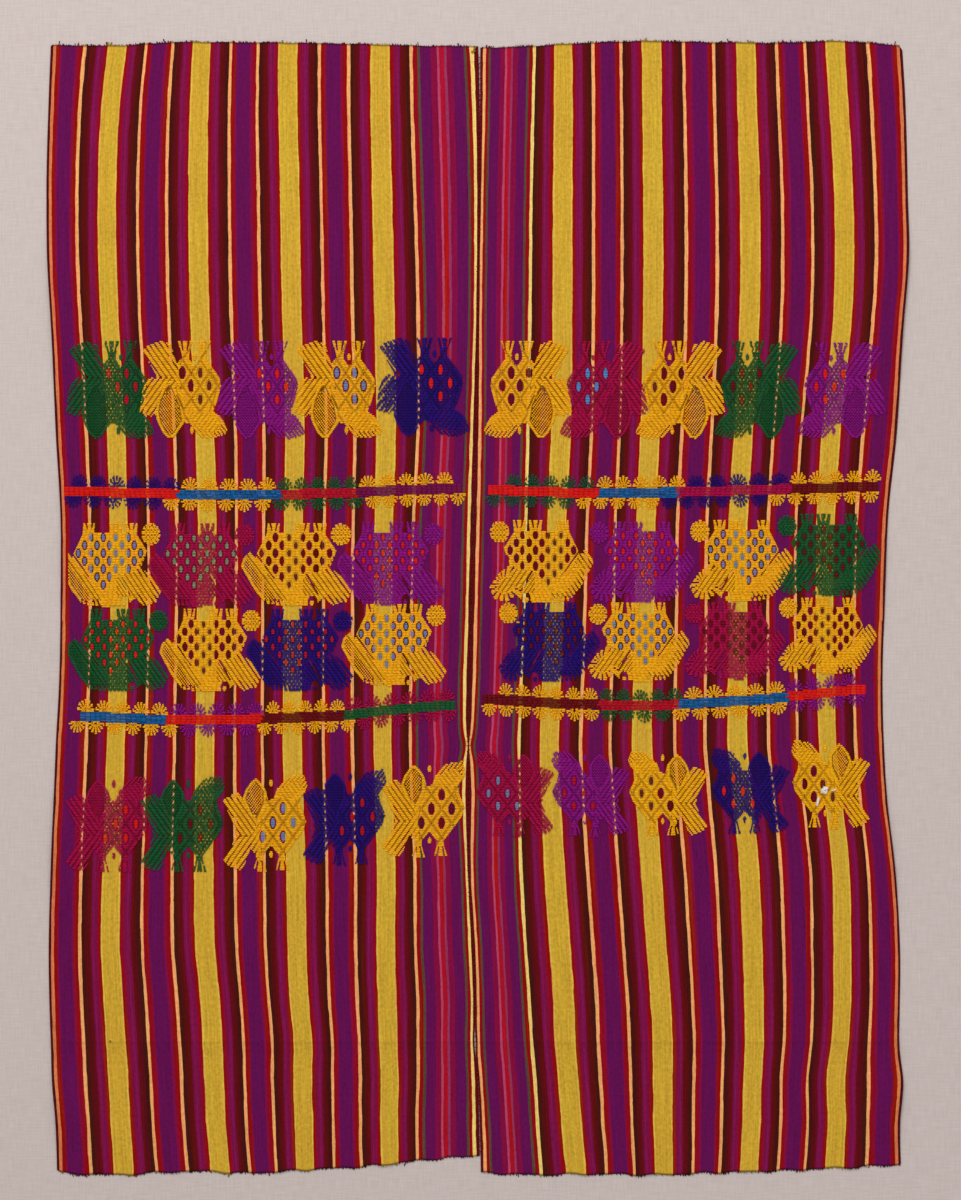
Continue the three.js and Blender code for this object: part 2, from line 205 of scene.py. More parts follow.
def eased(table, at):
    """A smooth curve through a table whose first column is where each row stands."""
    table = np.asarray(table, float)
    table = table[np.argsort(table[:, 0])]
    stations, values = table[:, 0], table[:, 1:]
    slopes = np.gradient(values, stations, axis=0)
    at = np.clip(np.asarray(at, float), stations[0], stations[-1])
    i = np.clip(np.searchsorted(stations, at) - 1, 0, len(stations) - 2)
    step = (stations[i + 1] - stations[i])[..., None]
    t = (at - stations[i])[..., None] / step
    return (
        (2 * t**3 - 3 * t**2 + 1) * values[i]
        + (t**3 - 2 * t**2 + t) * step * slopes[i]
        + (3 * t**2 - 2 * t**3) * values[i + 1]
        + (t**3 - t**2) * step * slopes[i + 1]
    )


def selvedges(web, y):
    """The x of a web's outer edge and of its edge at the seam."""
    left, seam, right, gape = np.moveaxis(eased(EDGES, y), -1, 0)
    half = (SEAM_GAP + np.maximum(gape, 0)) / 2
    return (left, seam - half) if web == "left" else (right, seam + half)


def knots(web, y):
    """Where chosen warps lie at y: their places in the warp, and their x."""
    outer, inner = selvedges(web, y)
    places = [0.0, *YELLOW_AT, LAST_LINE_AT, SEAM_LINE_AT, WEB]
    lines = np.moveaxis(eased(STRIPES, y), -1, 0)
    return places, [outer, *(lines[:6] if web == "left" else lines[6:]), inner]


def lie(web, u, y):
    """The x at which the warp u millimetres from the outer selvedge lies."""
    places, lies = knots(web, y)
    x = lies[0] + 0 * u
    for k in range(len(places) - 1):
        share = (u - places[k]) / (places[k + 1] - places[k])
        x = np.where(u >= places[k], lies[k] + share * (lies[k + 1] - lies[k]), x)
    return x


def warp_at(web, x, y):
    """Which warp lies at x: how far it is from the outer selvedge in the loom."""
    places, lies = knots(web, y)
    side = 1 if web == "left" else -1
    u = 0 * x
    for k in range(len(places) - 1):
        share = (x - lies[k]) / (lies[k + 1] - lies[k])
        u = np.where(side * (x - lies[k]) >= 0, places[k] + share * (places[k + 1] - places[k]), u)
    return np.clip(u, 0, WEB)


# Faint cockles all over the cloth: height, waves across and along it, start and lean.
WAVES = [
    (
        chance.uniform(0.05, 0.16),
        math.tau / chance.uniform(28, 120),
        math.tau / chance.uniform(45, 220),
        chance.uniform(0, math.tau),
        chance.choice((-1, 1)),
    )
    for _ in range(14)
]


def bump(r):
    """A smooth hump from -1 to 1."""
    return np.where(np.abs(r) < 1, (1 - r * r) ** 2, 0)


def lift(x, y):
    """How far the cloth's underside stands off the table."""
    z = FOLD_HEIGHT * bump((y - FOLD_Y - FOLD_LEAN * x) / FOLD_HALF)
    for rx, ry, along, across, height, lean in RIPPLES:
        t = (y - ry) / along
        z = z + height * bump(t) * bump((x - rx - lean * t) / across)
    cockle = sum(a * np.sin(kx * x + s * ky * y + p) for a, kx, ky, p, s in WAVES)
    return z + np.maximum(cockle, 0)


def hems(web, u, v):
    """The y of a place u across and v along the warp, which bends to follow the hems."""
    share = u / WEB if web == "left" else 1 - u / WEB
    steps = np.linspace(0, 1, 8)
    top, bottom = (eased(np.column_stack([steps, hem]), share)[..., 0] for hem in HEMS[web])
    scallop = 0.7 * np.sin(share * 61 + 1.0) + 0.5 * np.sin(share * 97)
    out = np.clip(1 - (share if web == "left" else 1 - share) * WEB / 6, 0, 1)
    corner = 1 - np.sqrt(1 - out * out)
    near_top = np.maximum(0, (v - HALF_LENGTH + HEM_REACH) / HEM_REACH)
    near_bottom = np.maximum(0, (-v - HALF_LENGTH + HEM_REACH) / HEM_REACH)
    return (
        v
        + (top - HALF_LENGTH + 0.3 * scallop - (1 if web == "left" else 5) * corner) * near_top
        + (bottom + HALF_LENGTH + scallop + (3 if web == "left" else 1) * corner) * near_bottom
    )


def linear(code):
    """An sRGB hex colour turned linear."""
    parts = [int(code[i : i + 2], 16) / 255 for i in (1, 3, 5)]
    turned = [c / 12.92 if c <= 0.04045 else ((c + 0.055) / 1.055) ** 2.4 for c in parts]
    return (*turned, 1.0)


class Finish:
    """A material under construction, with its shader."""

    def __init__(self, name):
        self.material = bpy.data.materials.new(name)
        self.material.use_nodes = True
        self.tree = self.material.node_tree
        self.shader = self.tree.nodes["Principled BSDF"]

    def feed(self, node, inputs):
        """Sets a node's inputs: a plain value is set on the socket, and an output is linked to it."""
        for socket, source in inputs.items() if isinstance(inputs, dict) else enumerate(inputs):
            if isinstance(source, bpy.types.NodeSocket):
                self.tree.links.new(source, node.inputs[socket])
            else:
                node.inputs[socket].default_value = source

    def add(self, kind, inputs=(), output=0, **settings):
        """Adds a node with its settings and inputs, and gives one of its outputs."""
        node = self.tree.nodes.new("ShaderNode" + kind)
        for name, value in settings.items():
            setattr(node, name, value)
        self.feed(node, inputs)
        return node.outputs[output]


def warp_ramp(finish, across, dyes, first, last):
    """The colours of stripes first to last of the warp, across being the place in millimetres."""
    low, span = float(STARTS[first]), float(STARTS[last] - STARTS[first])
    past = finish.add("Math", (across, low), operation="SUBTRACT")
    colour = finish.add("ValToRGB", (finish.add("Math", (past, span), operation="DIVIDE"),))
    bands = colour.node.color_ramp
    bands.interpolation = "CONSTANT"
    bands.elements.remove(bands.elements[1])
    for i in range(first, last):
        where = (float(STARTS[i]) - low) / span
        stop = bands.elements[0] if i == first else bands.elements.new(where)
        stop.position = where
        stop.color = linear(WARP_DYES[dyes[i]])
    return colour


def handwoven_cotton(name, dyes, stains):
    """Warp-faced plain weave of two-ply cotton: matt, ribbed along the warp, with streaky dye lots."""
    finish = Finish(name)
    add = finish.add
    thread = add("Attribute", (), "Vector", attribute_name="thread")
    across = add("SeparateXYZ", (thread,))
    along = across.node.outputs["Y"]
    # Noise, drawn out along the warp: how much of it goes into a millimetre across and along, and its detail.
    noises = []
    for grain, detail, roughness in (
        ((0.7, 0.045), 2.0, 0.5),  # how warps wander from straight
        ((0.75, 0.02), 3.0, 0.65),  # single warps, 1.3 mm apart so that they show; 0.5 mm in the cloth
        ((0.24, 0.006), 2.0, 0.5),  # dye lots, about 4 mm wide
        ((0.42, 0.30), 4.0, 0.7),  # slubs
        ((0.22, 0.85), 2.0, 0.5),  # the weft's crosswise grain, also drawn coarse
    ):
        drawn_out = add("Mapping", {"Vector": thread, "Scale": (*grain, 1)})
        settings = {"Vector": drawn_out, "Scale": 1.0, "Detail": detail, "Roughness": roughness}
        noises.append(add("TexNoise", settings))
    wander, fine, lots, slub, weft = noises
    sway = add("Math", (wander, 0.5), operation="SUBTRACT")
    shifted = add("Math", (sway, WANDER, across), operation="MULTIPLY_ADD")
    marks = [*range(0, len(dyes), RAMP_STOPS), len(dyes)]
    colour = warp_ramp(finish, shifted, dyes, *marks[:2])
    for first, last in zip(marks[1:-1], marks[2:]):
        past = add("Math", (shifted, float(STARTS[first])), operation="GREATER_THAN")
        stripes = warp_ramp(finish, shifted, dyes, first, last)
        colour = add("Mix", {0: past, 6: colour, 7: stripes}, 2, data_type="RGBA")
    # Single warps take the dye unevenly.
    lot = add("Math", (lots, 0.5), operation="SUBTRACT")
    hue = add("Math", (lot, 0.04, 0.5), operation="MULTIPLY_ADD")
    streaks = add("Math", (fine, 0.9, 0.55), operation="MULTIPLY_ADD")
    slubs = add("Math", (add("Math", (slub, 0.5), operation="SUBTRACT"), 1.1), operation="MULTIPLY")
    strength = add("Math", (streaks, slubs), operation="ADD")
    # The last few wefts at each hem, over an uneven width, are painted darker as painted shade along the
    # hem's edge, and hide most of the warp's colour.
    from_middle = add("Math", (along,), operation="ABSOLUTE")
    to_hem = add("Math", (HALF_LENGTH, from_middle), operation="SUBTRACT")
    hem_shade_width = add("Math", (slub, 2.8, 0.7), operation="MULTIPLY_ADD")
    hem_shade = add("Clamp", (add("Math", (to_hem, hem_shade_width), operation="DIVIDE"), 0.35, 1.0))
    # The old fold's crease is painted a little darker, as painted shade, and small stains sit near it.
    past_fold = add("Math", (along, FOLD_Y), operation="SUBTRACT")
    from_fold = add("Math", (past_fold,), operation="ABSOLUTE")
    fold_shade = add("Clamp", (add("Math", (from_fold, 0.06, 0.88), operation="MULTIPLY_ADD"),))
    factors = [hem_shade, fold_shade]
    for place, radius, depth in stains:
        away = add("VectorMath", (thread, (*place, 0)), "Value", operation="DISTANCE")
        factors.append(add("Clamp", (add("Math", (away, radius), operation="DIVIDE"), depth, 1.0)))
    for factor in factors:
        strength = add("Math", (strength, factor), operation="MULTIPLY")
    ribs = add("Math", (fine, 0.9), operation="MULTIPLY")
    picks = add("Math", (weft, 0.6), operation="MULTIPLY")
    relief = add("Math", (ribs, picks), operation="ADD")
    surface = {
        "Base Color": add("HueSaturation", {"Color": colour, "Hue": hue, "Value": strength}),
        "Normal": add("Bump", {"Height": relief, "Strength": 0.55, "Distance": 0.0006}),
        "Roughness": add("Math", (slub, 0.2, 0.78), operation="MULTIPLY_ADD"),
        "Sheen Weight": 0.015,
        "Sheen Roughness": 0.6,
        "Specular IOR Level": 0.09,
    }
    finish.feed(finish.shader, surface)
    return finish.material


def brocade_yarn():
    """Soft six-strand cotton and rayon floss: brighter and smoother than the ground, dyed in the strand."""
    finish = Finish("brocade_floss")
    add = finish.add
    dye = add("Attribute", (), "Color", attribute_name="dye")
    place = add("TexCoord", (), "Object")
    # Strands twist about every 2 mm.
    twist = add("Mapping", {"Vector": place, "Scale": (380, 950, 380)})
    strand = add("TexNoise", {"Vector": twist, "Scale": 1.0, "Detail": 3.0})
    value = add("Math", (strand, 0.5, 0.76), operation="MULTIPLY_ADD")
    surface = {
        "Base Color": add("HueSaturation", {"Color": dye, "Value": value}),
        "Normal": add("Bump", {"Height": strand, "Strength": 0.4, "Distance": 0.0004}),
        "Roughness": 0.62,
        "Sheen Weight": 0.015,
        "Sheen Roughness": 0.45,
        "Specular IOR Level": 0.12,
    }
    finish.feed(finish.shader, surface)
    return finish.material


def linen_table():
    """The pale warm-grey linen it is laid on: plain weave with a faint slub, 1.4 mm by 17 mm each way."""
    finish = Finish("table_linen")
    add = finish.add
    place = add("TexCoord", (), "Object")
    threads = []
    for way in ((700, 60, 1), (60, 700, 1)):
        drawn_out = add("Mapping", {"Vector": place, "Scale": way})
        threads.append(add("TexNoise", {"Vector": drawn_out, "Scale": 1.0, "Detail": 2.0}))
    weave = add("Math", threads, operation="ADD")
    colour = add("ValToRGB", (add("Math", (weave, 0.5), operation="MULTIPLY"),))
    for stop, position, code in zip(colour.node.color_ramp.elements, (0.3, 0.7), ("#C6B8B4", "#D5C9C6")):
        stop.position, stop.color = position, linear(code)
    relief = add("Bump", {"Height": weave, "Strength": 0.2, "Distance": 0.0004})
    finish.feed(finish.shader, {"Base Color": colour, "Normal": relief, "Roughness": 0.9})
    return finish.material


def store(data, field, values, kind=np.float32):
    """Writes one field of a mesh's points, corners or faces, or of a layer on them."""
    data.foreach_set(field, np.asarray(values).astype(kind).ravel())


def fetch(data, field, width, kind=np.float32):
    """Reads what store() writes, width numbers for each item."""
    values = np.empty(len(data) * width, kind)
    data.foreach_get(field, values)
    return values.reshape(-1, width)


def placed(name, data):
    """Puts something into the scene."""
    thing = bpy.data.objects.new(name, data)
    bpy.context.collection.objects.link(thing)
    return thing


def add_bake_map(mesh, flat):
    """A map to bake to, from places of 0 to 1 both ways, one for each corner of each face, with a margin."""
    margin = 0.002
    store(mesh.uv_layers.new(name="OFBake").data, "uv", flat * (1 - 2 * margin) + margin)


def web_cloth(web, finish):
    """One web as a thin closed shell: two layers of one grid, joined round their edges."""
    # The grid is close at the edges, where the cloth rounds off.
    edge = [0, 0.4, 1.2, 2.6]
    u_places = np.array([*edge, *np.linspace(4.5, WEB - 4.5, 78), *(WEB - np.array(edge[::-1]))])
    length = 2 * HALF_LENGTH
    v_places = np.array([*edge, *np.linspace(5, length - 5, 210), *(length - np.array(edge[::-1]))])
    columns, rows = len(u_places) - 1, len(v_places) - 1
    bm = bmesh.new()
    bmesh.ops.create_grid(bm, x_segments=columns, y_segments=rows, size=0.5)

    def spot(vert):
        return round(vert.co.x, 5), round(vert.co.y, 5)

    rim = {spot(vert) for vert in bm.verts if vert.is_boundary}
    under = bmesh.ops.duplicate(bm, geom=bm.verts[:] + bm.edges[:] + bm.faces[:])["geom"]
    below = {g for g in under if isinstance(g, bmesh.types.BMVert)}
    bmesh.ops.reverse_faces(bm, faces=[g for g in under if isinstance(g, bmesh.types.BMFace)])
    for vert in bm.verts:
        vert.co.z = 0 if spot(vert) in rim else (-1 if vert in below else 1)
    bmesh.ops.remove_doubles(bm, verts=bm.verts[:], dist=1e-5)
    mesh = bpy.data.meshes.new(f"{web}_web_cloth")
    bm.to_mesh(mesh)
    bm.free()

    co = fetch(mesh.vertices, "co", 3).astype(float)
    u = u_places[np.rint((co[:, 0] + 0.5) * columns).astype(int)]
    v = v_places[np.rint((co[:, 1] + 0.5) * rows).astype(int)] - HALF_LENGTH
    if web == "right":
        u = WEB - u
    y = hems(web, u, v)
    x = lie(web, u, y)
    from_edge = np.minimum.reduce([u, WEB - u, HALF_LENGTH - v, HALF_LENGTH + v])
    r = 1 - np.minimum(from_edge, SELVEDGE) / SELVEDGE
    z = lift(x, y) + WALL / 2 + co[:, 2] * WALL / 2 * np.sqrt(np.maximum(0, 1 - r * r))
    store(mesh.vertices, "co", np.column_stack([x, y, z]) * MM)
    thread = mesh.attributes.new("thread", "FLOAT_VECTOR", "POINT")
    store(thread.data, "vector", np.column_stack([u, v, 0 * u]))
    corner = fetch(mesh.loops, "vertex_index", 1, np.int32)[:, 0]
    add_bake_map(mesh, np.column_stack([u / WEB, 0.5 + v / length])[corner])
    mesh.shade_smooth()
    mesh.materials.append(finish)
    mesh.update()
    return placed(f"{web}_web_cloth", mesh)


def yarn_shape():
    """A single float of yarn along X, one unit long, wide and high: flat on top, and drawn in at its ends
    where it dives into the cloth."""
    bm = bmesh.new()
    bmesh.ops.create_cube(bm, size=1)
    for vert in bm.verts:
        vert.co.z += 0.5
        if vert.co.z > 0.5:
            vert.co.x *= 0.84
            vert.co.y *= 0.66
    mesh = bpy.data.meshes.new("yarn_shape")
    bm.to_mesh(mesh)
    bm.free()
    return mesh


def strew(name, shape, places, finish, flat_to):
    """Many copies of a small shape as one mesh. places has columns x, y, length, width, height, turn and a
    linear colour; every point stands on flat_to(x, y)."""
    count, points = len(places), len(shape.vertices)
    base = fetch(shape.vertices, "co", 3)[None]
    x0, y0, long, wide, high, turn = (places[:, i, None] for i in range(6))
    along, across = base[..., 0] * long, base[..., 1] * wide
    x = x0 + along * np.cos(turn) - across * np.sin(turn)
    y = y0 + along * np.sin(turn) + across * np.cos(turn)
    z = flat_to(x, y) + base[..., 2] * high
    corners = np.array([v for p in shape.polygons for v in p.vertices])
    sizes = np.array([len(p.vertices) for p in shape.polygons])
    mesh = bpy.data.meshes.new(name)
    mesh.vertices.add(count * points)
    mesh.loops.add(count * len(corners))
    mesh.polygons.add(count * len(sizes))
    co = np.stack([x, y, z], -1) * MM
    store(mesh.vertices, "co", co)
    loop_verts = (corners[None] + np.arange(count)[:, None] * points).ravel()
    store(mesh.loops, "vertex_index", loop_verts, np.int32)
    starts = np.concatenate([[0], np.cumsum(np.tile(sizes, count))[:-1]])
    store(mesh.polygons, "loop_start", starts, np.int32)
    mesh.update(calc_edges=True)
    colour = np.repeat(places[:, 6:9], points, axis=0)
    dye = mesh.attributes.new("dye", "FLOAT_COLOR", "POINT")
    store(dye.data, "color", np.column_stack([colour, np.ones(len(colour))]))
    flat = co.reshape(-1, 3)[:, :2]
    add_bake_map(mesh, ((flat - flat.min(0)) / np.ptp(flat, 0))[loop_verts])
    mesh.shade_smooth()
    mesh.materials.append(finish)
    piece = placed(name, mesh)
    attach(piece, "root")
    return piece


def on_cloth(x, y):
    return lift(x, y) + WALL - BEDDED


def over_floats(x, y):
    return on_cloth(x, y) + 0.6


def in_hem(x, y):
    return lift(x, y) + 0.3


# The brocade's charts. Each takes a grid of places in millimetres from the figure's middle, drawn facing +X,
# and gives for each what lies there: bare ground, the figure's yarn, the second yarn that fills its holes,
# yarn that sinks deeply or a little between two strokes, or a ring round a filled hole or a gap across a
# wing, which is bare in the pale figures and sunk in the dark ones.
# Sunk yarn is also painted darker: painted shade between strokes, round filled holes and across wings.
BARE, YARN, FILLING, DEEP, SHALLOW, RING = range(6)
BACK_BIRD = (
    (-40, 20), (-35, 22), (-30, 24), (-27, 21), (-24, 30), (-20, 38), (-15, 43), (-10, 42), (-6, 36),
    (-1, 29), (5, 31), (9, 38), (14, 42), (25, 43), (31, 41), (37, 38), (34, 30), (30, 24), (24, 20),
    (27, 12), (31, -2), (30, -9), (18, -26), (18, -31), (22, -42), (10, -42), (12.5, -31), (12, -26),
    (7.5, -20), (3, -26), (3.2, -31), (6, -42), (-7, -42), (-3.5, -31), (-3, -27), (-8, -22), (-13, -39),
    (-22, -42), (-33, -38), (-38, -33), (-30, -20), (-25, -11), (-34, -9), (-38, 3),
)  # fmt: skip
BACK_WING = (
    (-26, 20), (-24, 30), (-20, 38), (-15, 43), (-10, 42), (-6, 36), (-1, 28), (-3, 14), (-10, -2),
    (-14, -7), (-19, -2), (-24, 9),
)  # fmt: skip
FRONT_BIRD = (
    (-38, 20), (-30, 25), (-24, 27), (-20, 22), (-17, 30), (-12, 37), (-8, 40), (-3, 35), (1, 29), (3, 20),
    (8, 22), (11, 31), (16, 38), (24, 42), (35, 43), (38, 34), (36, 28), (31, 22), (32, 14), (37, 2),
    (34, -7), (18, -28), (18.5, -33), (21.5, -42), (9.5, -42), (12, -33), (12.5, -28), (5, -20),
    (-1.5, -28), (-1.5, -33), (1.5, -43), (-10.5, -43), (-7.5, -33), (-8, -28), (-13, -23), (-18, -37),
    (-22, -42), (-32, -39), (-38, -32), (-30, -21), (-26, -12), (-27, -3), (-31, 6),
)  # fmt: skip
FRONT_WING = (
    (-20, 22), (-17, 30), (-12, 37), (-8, 40), (-3, 35), (1, 29), (1, 17), (-5, 4), (-13, 6),
)  # fmt: skip
SPREAD_BIRD = (
    (-34, 6), (-26, 21), (-25, 31), (-14, 31), (-15, 22), (1, 22), (0, 31), (13, 31), (12, 22), (17, 22),
    (16, 31), (28, 31), (27, 21), (37, 7), (31, -7), (42, -15), (51, -27), (46, -36), (34, -39), (25, -33),
    (18, -38), (-3, -40), (-26, -38), (-37, -26), (-49, -6), (-47, 1), (-41, 6), (-36, 1),
)  # fmt: skip
# Each side bird's outline, wing, net and feet, and whether its feet point to -Y, 1, or to +Y, -1.
BACK_SHAPE = (BACK_BIRD, BACK_WING, (4.9, -2.6, 7.8, 11.4), (-0.5, 16)), -1
FRONT_SHAPE = (FRONT_BIRD, FRONT_WING, (7.2, 0.4, 9.1, 12.6), (-4.5, 15.5)), 1
NET_AREA = ((-34, 5), (-27, 22), (27, 22), (37, 7), (26, -10), (11, -13), (-7, -28), (-22, -12))


def inside(X, Y, outline):
    """Which places lie inside an outline."""
    within = np.zeros(X.shape, bool)
    for (ax, ay), (bx, by) in zip(outline, outline[1:] + outline[:1]):
        if ay == by:
            continue
        crosses = (ay > Y) != (by > Y)
        within ^= crosses & (X < (bx - ax) * (Y - ay) / (by - ay) + ax)
    return within


def from_outline(X, Y, outline):
    """How far each place is from the outline's nearest side."""
    nearest = np.full(X.shape, 1e3)
    for (ax, ay), (bx, by) in zip(outline, outline[1:] + outline[:1]):
        dx, dy = bx - ax, by - ay
        t = np.clip(((X - ax) * dx + (Y - ay) * dy) / (dx * dx + dy * dy), 0, 1)
        nearest = np.minimum(nearest, np.hypot(X - ax - t * dx, Y - ay - t * dy))
    return nearest


def between(X, Y, slope, pitch, gap):
    """The lines between slanting strokes, pitch apart measured along the weft."""
    return (X - Y / slope) / pitch % 1.0 < gap / pitch


def oval(X, Y, x, y, half_w, half_h):
    return ((X - x) / half_w) ** 2 + ((Y - y) / half_h) ** 2 < 1


def in_net(X, Y, net):
    """How far each place is from the middle of its cell in a net of diamonds, along the weft and the warp."""
    x, y, half_w, half_h = net
    p = (X - x) / half_w + (Y - y) / half_h
    q = (X - x) / half_w - (Y - y) / half_h
    p, q = p - 2 * np.round(p / 2), q - 2 * np.round(q / 2)
    return (p + q) / 2 * half_w, (p - q) / 2 * half_h


def toes(X, Y, x, top, drop, side):
    """The gaps between the three toes of a foot that spreads as it leaves the body."""
    t = side * (top - Y) / drop
    spread = (X - x) / (1.6 + 4.6 * np.clip(t, 0, 1))
    return (t > 0.4) & (t < 1.3) & (np.abs(np.abs(spread) - 0.5) < 0.16)


def side_bird(X, Y, outline, wing, net, feet):
    """net is a hole's x and y and the cells' half width and half height, and feet are their two x."""
    figure = inside(X, Y, outline)
    rim = from_outline(X, Y, outline)
    in_wing = figure & inside(X, Y, wing)
    wing_rim = from_outline(X, Y, wing)
    x, y, half_w, half_h = net
    near_x, near_y = in_net(X, Y, net)
    falling, rising = Y + SLANT * X, Y - SLANT * X
    upper_tail = (X < -8) & (falling < -10) & (Y > -12) & (rising > 6) & ~in_wing
    lower_tail = (X < -7) & (Y < -9) & (falling < -24)
    head = (Y > 21) & (X > 3)
    chart = np.where(figure, YARN, BARE)
    body = figure & ~in_wing & ~upper_tail & ~lower_tail & ~head
    chart[body & (X < x - 1.2 * half_w) & between(X, Y, SLANT, STROKE, 0.9)] = SHALLOW
    ring = np.abs(near_x) / half_w + np.abs(near_y) / half_h
    chart[body & (X > x - 1.2 * half_w) & (np.abs(ring - 0.92) < 0.065)] = SHALLOW
    chart[body & (X > 20) & (np.abs(rim - 3.2) < 0.5)] = SHALLOW
    chart[in_wing & (wing_rim > 3.0) & between(X, Y, SLANT, 2.4, 1.3)] = RING
    chart[in_wing & (np.abs(wing_rim - 2.6) < 0.45)] = DEEP
    for part, slope in ((upper_tail, -SLANT), (lower_tail, SLANT)):
        chart[figure & part & between(X, Y, slope, STROKE, 1.3)] = DEEP
        chart[figure & part & (rim < 4.5) & between(X, Y, slope, STROKE, 1.6)] = BARE
    chart[figure & head & (rim > 5) & between(X, Y, -1.3, 4.4, 0.9)] = SHALLOW
    chart[figure & head & (rim < 5.5) & (Y > 31) & between(X, Y, 1.2, 3.8, 1.3)] = BARE
    slit_a = (np.abs(X + 5 - (Y - 11) / 2.2) < 0.9) & (Y > 5) & (Y < 18)
    slit_b = (np.abs(X + 15 + (Y - 1) / 1.6) < 0.8) & (Y > -5) & (Y < 5)
    chart[figure & (slit_a | slit_b)] = DEEP
    chart[toes(X, Y, feet[0], -28, 13, 1) | toes(X, Y, feet[1], -28, 13, 1)] = BARE
    for i, j in ((0, 0), (2, 0), (-1, -1), (1, -1), (1, 1)):
        hole = x + i * half_w, y + j * half_h
        chart[oval(X, Y, *hole, 3.1, 5.7)] = RING
        chart[oval(X, Y, *hole, 1.9, 4.3)] = FILLING
    fork = (feet[0] + feet[1]) / 2
    chart[oval(X, Y, fork, -28, 3.3, 7.5)] = BARE
    chart[oval(X, Y, fork, -28, 1.6, 2.8) | oval(X, Y, 5.5, 36, 1.6, 3.2)] = YARN
    return chart


def spread_bird(X, Y, comb):
    """comb is 1 where the wing and tail are edged with short cross strokes, as on the right web, or -1 where
    their strokes run lengthwise."""
    figure = inside(X, Y, SPREAD_BIRD)
    rim = from_outline(X, Y, SPREAD_BIRD)
    lattice = inside(X, Y, NET_AREA)
    near_x, near_y = in_net(X, Y, (0.3, -1.5, 6.1, 6.6))
    chart = np.where(figure, YARN, BARE)
    # Round holes, each with a speck of the second yarn, kept clear of the net's own edge.
    centre_x, centre_y = X - near_x, Y - near_y
    whole = inside(centre_x, centre_y, NET_AREA) & (from_outline(centre_x, centre_y, NET_AREA) > 3.0)
    chart[lattice & whole & oval(near_x, near_y, 0, 0, 2.7, 4.0)] = RING
    chart[lattice & whole & oval(near_x, near_y, 0, 0, 1.6, 2.7)] = FILLING
    outward = ((X + 34) * -33 - (Y - 5) * 27) / 42.6
    below = figure & ~lattice & (Y < 7)
    wing = below & (X < -8) & (outward > 0)
    chart[wing & (outward > 10.4) & (rim > 2.4) & between(X, Y, -1.2, 2.6, 1.35)] = RING
    chart[wing & (np.abs(outward - 8.2) < 0.6)] = DEEP
    chart[wing & (outward > 0.9) & (outward < 2.4) & (Y > -17)] = BARE
    chart[wing & (outward > 2.4) & (outward < 7.6) & (Y < -12) & between(X, Y, -1.3, 4.4, 1.0)] = DEEP
    if comb > 0:
        chart[wing & (outward > 2.4)] = YARN
        chart[wing & (outward > 4.0) & (rim < 8.0) & between(X, Y, 1.3, 4.8, 1.3)] = DEEP
        chart[wing & (outward > 4.0) & (rim < 4.5) & between(X, Y, 1.3, 4.8, 1.7)] = BARE
    chart[below & (X < -8) & (X > -30) & (Y < -34) & between(X + 0.35 * (Y + 34), Y, 9, 4.0, 1.4)] = BARE
    tail = below & (X > 10 + 0.62 * (-13 - Y)) & (X > 8)
    chart[tail & ((rim > 7) | (comb < 0)) & between(X, Y, -1.3, STROKE, 1.2)] = DEEP
    chart[tail & (rim < 5) & (X > 27) & (comb < 0) & between(X, Y, -1.3, STROKE, 1.9)] = BARE
    fringe = np.arctan2(Y + 24, X - 37) / math.tau * 15 % 1.0 < 0.32
    chart[tail & (rim < 5.5) & (comb > 0) & fringe] = BARE
    breast = below & ~tail & (X > 7) & (Y > -31)
    chart[breast & between(X, Y, -1.3, 3.6, 1.1)] = DEEP
    chart[figure & (np.abs(X - 10 - 0.62 * (-13 - Y)) < 0.9) & (Y < -12) & (Y > -30)] = BARE
    chart[oval(X, Y, 15.5, -36, 4.4, 5.4)] = BARE
    chart[oval(X, Y, 14.8, -37, 1.8, 2.0)] = YARN
    for fx in (-19.5, 6.5, 22):
        chart[toes(X, Y, fx, 21, 9, -1) & (Y > 23)] = BARE
    disc = np.hypot(X - 41, Y - 21)
    turn = np.arctan2(Y - 21, X - 41) / math.tau
    chart[disc < 9.2] = YARN
    chart[(disc < 9.2) & (disc > 7.4) & ((turn * 14) % 1 < 0.26)] = BARE
    chart[(disc < 7.4) & between(X, Y, 1.2, 3.4, 1.5) & between(X, Y, -1.2, 3.4, 1.5)] = DEEP
    return chart


def fans(step, out):
    """The fans along a bar's edge: step counts them, and out is how far a place is from the bar's middle."""
    across, up = (step % 1.0 - 0.5) / 0.47, (out - BAR_HALF) / 10.4
    reach, turn = np.hypot(across, up), np.arctan2(up, across) / math.pi
    ray = (turn * 7 + 0.29) % 1.0 < 0.42
    petals = np.where(ray & (reach > 0.5), BARE, np.where(ray, SHALLOW, FILLING))
    return np.where((out > BAR_HALF) & (reach < 1), petals, BARE)


BROCADE_DYES = {
    "orange": "#FAB00C", "gold": "#FDB408", "green": "#05562A", "pine": "#055038", "navy": "#1C026E",
    "plum": "#8E0A80", "wine": "#760648", "magenta": "#A80042", "red": "#DE160E", "blue": "#045C98",
    "crimson": "#B60822", "slate": "#7480AC", "maroon": "#6A0208", "sage": "#76906A", "sky": "#5088C8",
    "white": "#E8E0D8",
}  # fmt: skip

